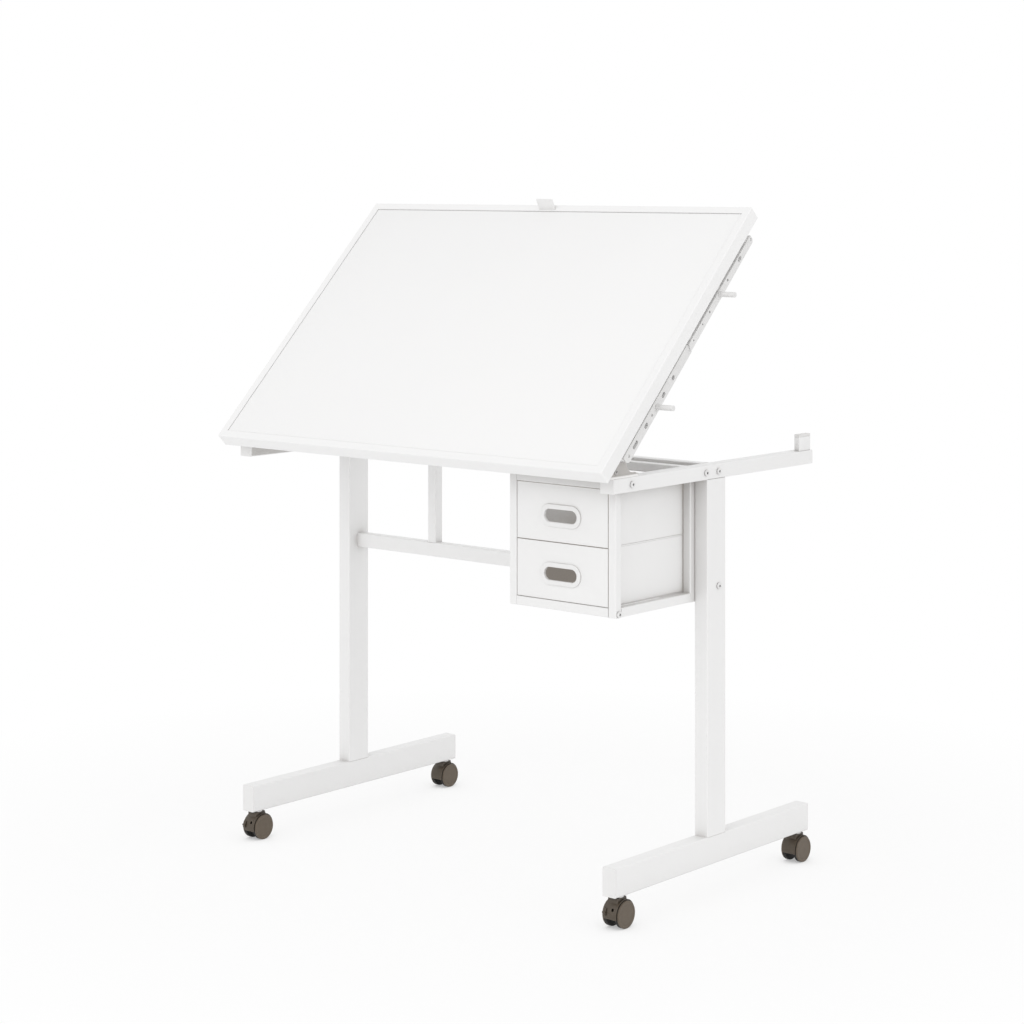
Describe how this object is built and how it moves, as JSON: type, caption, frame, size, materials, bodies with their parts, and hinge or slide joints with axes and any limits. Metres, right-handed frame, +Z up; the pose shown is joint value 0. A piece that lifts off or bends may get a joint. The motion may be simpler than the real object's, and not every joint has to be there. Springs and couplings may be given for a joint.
{
  "type": "tilting puzzle table with drawers",
  "caption": "Puzzle and drawing table on swivel casters: a white rimmed board that tilts on a steel T-leg frame, with a small open cabinet of pull-out drawers.",
  "frame": {"origin": "on the floor, at the centre of the table's outline seen from above, with the board tilted 45 degrees", "axes": "+X to the right of a person sitting at the table, +Y to the back, +Z up"},
  "size_m": [0.976, 0.6407, 1.2083],
  "materials": {
    "white_steel": "satin",
    "white_board": "matte",
    "drawer_board": "satin",
    "white_plastic": "satin",
    "zinc_steel": "satin",
    "soft_pad": "matte",
    "grey_wheel": "satin",
    "dark_plastic": "satin"
  },
  "bodies": {
    "frame": {"foot_left": "white_steel", "foot_right": "white_steel", "post_left": "white_steel", "post_right": "white_steel", "side_rail_left": "white_steel", "side_rail_right": "white_steel", "tube_end_caps": "white_plastic", "upper_crossbar": "white_steel", "lower_crossbar": "white_steel", "brace_tube": "white_steel", "bar_inserts": "zinc_steel", "frame_screws": "zinc_steel", "rest_blocks": "white_steel", "rest_pads": "soft_pad", "hinge_brackets": "white_steel", "hinge_bolts": "zinc_steel", "hinge_nuts": "zinc_steel", "cabinet_uprights": "white_steel", "cabinet_cross_bars": "white_steel", "cabinet_side_bars": "white_steel", "drawer_runners": "white_steel", "caster_stems": "zinc_steel"},
    "board": {"board_panel": "white_board", "board_rim_front": "white_steel", "board_rim_rear": "white_steel", "board_rim_left": "white_steel", "board_rim_right": "white_steel", "hinge_arm_left": "white_steel", "hinge_arm_right": "white_steel", "slotted_rail_left": "white_steel", "slotted_rail_right": "white_steel", "side_pegs": "zinc_steel", "panel_screws": "zinc_steel", "top_clip": "white_plastic"},
    "drawer_lower": {"drawer_lower_front": "drawer_board", "drawer_lower_grip": "white_plastic", "drawer_lower_bottom": "drawer_board", "drawer_lower_walls": "drawer_board"},
    "drawer_upper": {"drawer_upper_front": "drawer_board", "drawer_upper_grip": "white_plastic", "drawer_upper_bottom": "drawer_board", "drawer_upper_walls": "drawer_board"},
    "caster_front_right": {"caster_hood_front_right": "dark_plastic", "caster_axle_front_right": "zinc_steel"},
    "wheel_front_right_right": {"caster_wheel_front_right_right": "grey_wheel"},
    "wheel_front_right_left": {"caster_wheel_front_right_left": "grey_wheel"},
    "brake_front_right": {"caster_brake_front_right": "dark_plastic"},
    "caster_front_left": {"caster_hood_front_left": "dark_plastic", "caster_axle_front_left": "zinc_steel"},
    "wheel_front_left_right": {"caster_wheel_front_left_right": "grey_wheel"},
    "wheel_front_left_left": {"caster_wheel_front_left_left": "grey_wheel"},
    "brake_front_left": {"caster_brake_front_left": "dark_plastic"},
    "caster_rear_right": {"caster_hood_rear_right": "dark_plastic", "caster_axle_rear_right": "zinc_steel"},
    "wheel_rear_right_right": {"caster_wheel_rear_right_right": "grey_wheel"},
    "wheel_rear_right_left": {"caster_wheel_rear_right_left": "grey_wheel"},
    "caster_rear_left": {"caster_hood_rear_left": "dark_plastic", "caster_axle_rear_left": "zinc_steel"},
    "wheel_rear_left_right": {"caster_wheel_rear_left_right": "grey_wheel"},
    "wheel_rear_left_left": {"caster_wheel_rear_left_left": "grey_wheel"}
  },
  "joints": [
    {"name": "board_tilt", "type": "hinge", "parent": "frame", "child": "board", "pos_m": [0, -0.2594, 0.7605], "axis": [1, 0, 0], "range_deg": [-45, 15]},
    {"name": "drawer_lower_slide", "type": "slide", "parent": "frame", "child": "drawer_lower", "axis": [0, -1, 0], "range_m": [0, 0.16]},
    {"name": "drawer_upper_slide", "type": "slide", "parent": "frame", "child": "drawer_upper", "axis": [0, -1, 0], "range_m": [0, 0.16]},
    {"name": "caster_front_right_swivel", "type": "hinge", "parent": "frame", "child": "caster_front_right", "pos_m": [0.4314, -0.244, 0.05], "axis": [0, 0, 1], "continuous": true},
    {"name": "wheel_front_right_right_spin", "type": "hinge", "parent": "caster_front_right", "child": "wheel_front_right_right", "pos_m": [0.4314, -0.24, 0.023], "axis": [1, 0, 0], "continuous": true},
    {"name": "wheel_front_right_left_spin", "type": "hinge", "parent": "caster_front_right", "child": "wheel_front_right_left", "pos_m": [0.4314, -0.24, 0.023], "axis": [1, 0, 0], "continuous": true},
    {"name": "brake_front_right_lever", "type": "hinge", "parent": "caster_front_right", "child": "brake_front_right", "pos_m": [0.4314, -0.24, 0.023], "axis": [1, 0, 0], "range_deg": [-15, 0]},
    {"name": "caster_front_left_swivel", "type": "hinge", "parent": "frame", "child": "caster_front_left", "pos_m": [-0.4314, -0.244, 0.05], "axis": [0, 0, 1], "continuous": true},
    {"name": "wheel_front_left_right_spin", "type": "hinge", "parent": "caster_front_left", "child": "wheel_front_left_right", "pos_m": [-0.4314, -0.24, 0.023], "axis": [1, 0, 0], "continuous": true},
    {"name": "wheel_front_left_left_spin", "type": "hinge", "parent": "caster_front_left", "child": "wheel_front_left_left", "pos_m": [-0.4314, -0.24, 0.023], "axis": [1, 0, 0], "continuous": true},
    {"name": "brake_front_left_lever", "type": "hinge", "parent": "caster_front_left", "child": "brake_front_left", "pos_m": [-0.4314, -0.24, 0.023], "axis": [1, 0, 0], "range_deg": [-15, 0]},
    {"name": "caster_rear_right_swivel", "type": "hinge", "parent": "frame", "child": "caster_rear_right", "pos_m": [0.4314, 0.284, 0.05], "axis": [0, 0, 1], "continuous": true},
    {"name": "wheel_rear_right_right_spin", "type": "hinge", "parent": "caster_rear_right", "child": "wheel_rear_right_right", "pos_m": [0.4314, 0.288, 0.023], "axis": [1, 0, 0], "continuous": true},
    {"name": "wheel_rear_right_left_spin", "type": "hinge", "parent": "caster_rear_right", "child": "wheel_rear_right_left", "pos_m": [0.4314, 0.288, 0.023], "axis": [1, 0, 0], "continuous": true},
    {"name": "caster_rear_left_swivel", "type": "hinge", "parent": "frame", "child": "caster_rear_left", "pos_m": [-0.4314, 0.284, 0.05], "axis": [0, 0, 1], "continuous": true},
    {"name": "wheel_rear_left_right_spin", "type": "hinge", "parent": "caster_rear_left", "child": "wheel_rear_left_right", "pos_m": [-0.4314, 0.288, 0.023], "axis": [1, 0, 0], "continuous": true},
    {"name": "wheel_rear_left_left_spin", "type": "hinge", "parent": "caster_rear_left", "child": "wheel_rear_left_left", "pos_m": [-0.4314, 0.288, 0.023], "axis": [1, 0, 0], "continuous": true}
  ]
}
